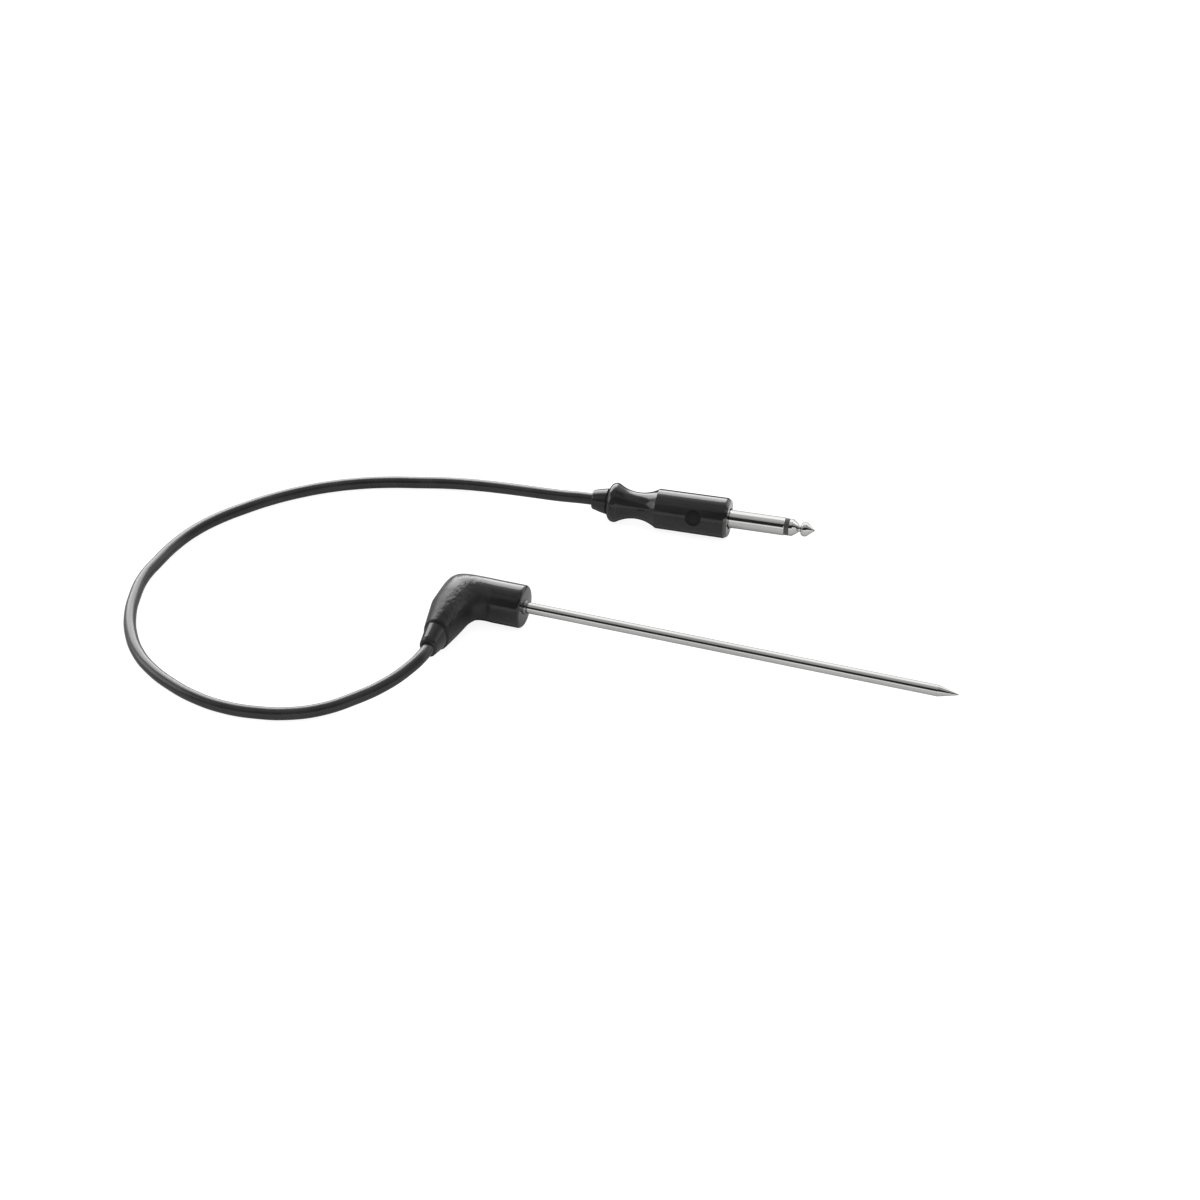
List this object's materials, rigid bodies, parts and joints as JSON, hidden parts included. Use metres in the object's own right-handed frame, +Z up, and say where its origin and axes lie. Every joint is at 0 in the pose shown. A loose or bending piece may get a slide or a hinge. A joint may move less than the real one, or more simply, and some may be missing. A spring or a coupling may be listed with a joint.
{
  "type": "plug-in meat thermometer probe",
  "caption": "Pointed steel probe shaft with a right-angle black handle, a short cord in one open loop and a 6.35 mm two-pole jack plug with a waisted grip.",
  "frame": {"origin": "on the shaft's axis, at the front face of the collar where the bare shaft begins; the surface the handle lies on is 7.35 mm below it", "axes": "+X along the shaft towards its point, +Z up from the surface that handle, cord and plug lie on; the handle's cord arm points along -Y"},
  "size_m": [0.2821, 0.1573, 0.0148],
  "materials": {
    "stainless": "polished stainless tube with fine lengthwise drawing marks",
    "stainless_tip": "ground stainless point, fine turning marks",
    "stainless_collar": "rolled stainless collar",
    "bead_glass": "glassy sensor bead",
    "epoxy": "cast heat-conducting resin",
    "sleeving": "woven insulating sleeving",
    "lead_insulation": "heat-proof wire insulation",
    "crimp_steel": "plain crimped steel",
    "inner_moulding": "first-shot moulding",
    "handle_plastic": "glossy black moulded plastic",
    "splice_brass": "tinned brass barrel",
    "heat_shrink": "heat-shrink sleeve",
    "conductor_insulation": "soft wire insulation",
    "relief_plastic": "black moulded plastic",
    "cord_jacket": "satin black cord jacket",
    "grip_plastic": "glossy black moulded plastic",
    "nickel_plate": "bright nickel plate",
    "nickel_tip": "bright nickel plate",
    "insulator_black": "black insulating plastic",
    "insulator_natural": "natural insulating plastic",
    "lug_brass": "tinned brass lug",
    "solder": "dull solder"
  },
  "bodies": {
    "root": {"shaft_tube": "stainless", "shaft_tip": "stainless_tip", "shaft_collar": "stainless_collar", "thermistor_bead": "bead_glass", "tip_potting": "epoxy", "lead_sleeve": "sleeving", "sensor_leads": "lead_insulation", "tube_anchor": "crimp_steel", "handle_core": "inner_moulding", "handle_shell": "handle_plastic", "splice_barrels": "splice_brass", "splice_sleeves": "heat_shrink", "handle_conductors": "conductor_insulation", "handle_cord_clamp": "crimp_steel", "handle_strain_relief": "relief_plastic", "cord": "cord_jacket", "plug_strain_relief": "relief_plastic", "plug_grip": "grip_plastic", "plug_core": "inner_moulding", "plug_cord_clamp": "crimp_steel", "plug_conductors": "conductor_insulation", "jack_sleeve": "nickel_plate", "jack_insulator_ring": "insulator_black", "jack_insulator_tube": "insulator_natural", "jack_rear_washer": "insulator_black", "jack_sleeve_lug": "lug_brass", "jack_tip": "nickel_tip", "jack_tip_lug": "lug_brass", "solder_joints": "solder"}
  },
  "joints": []
}
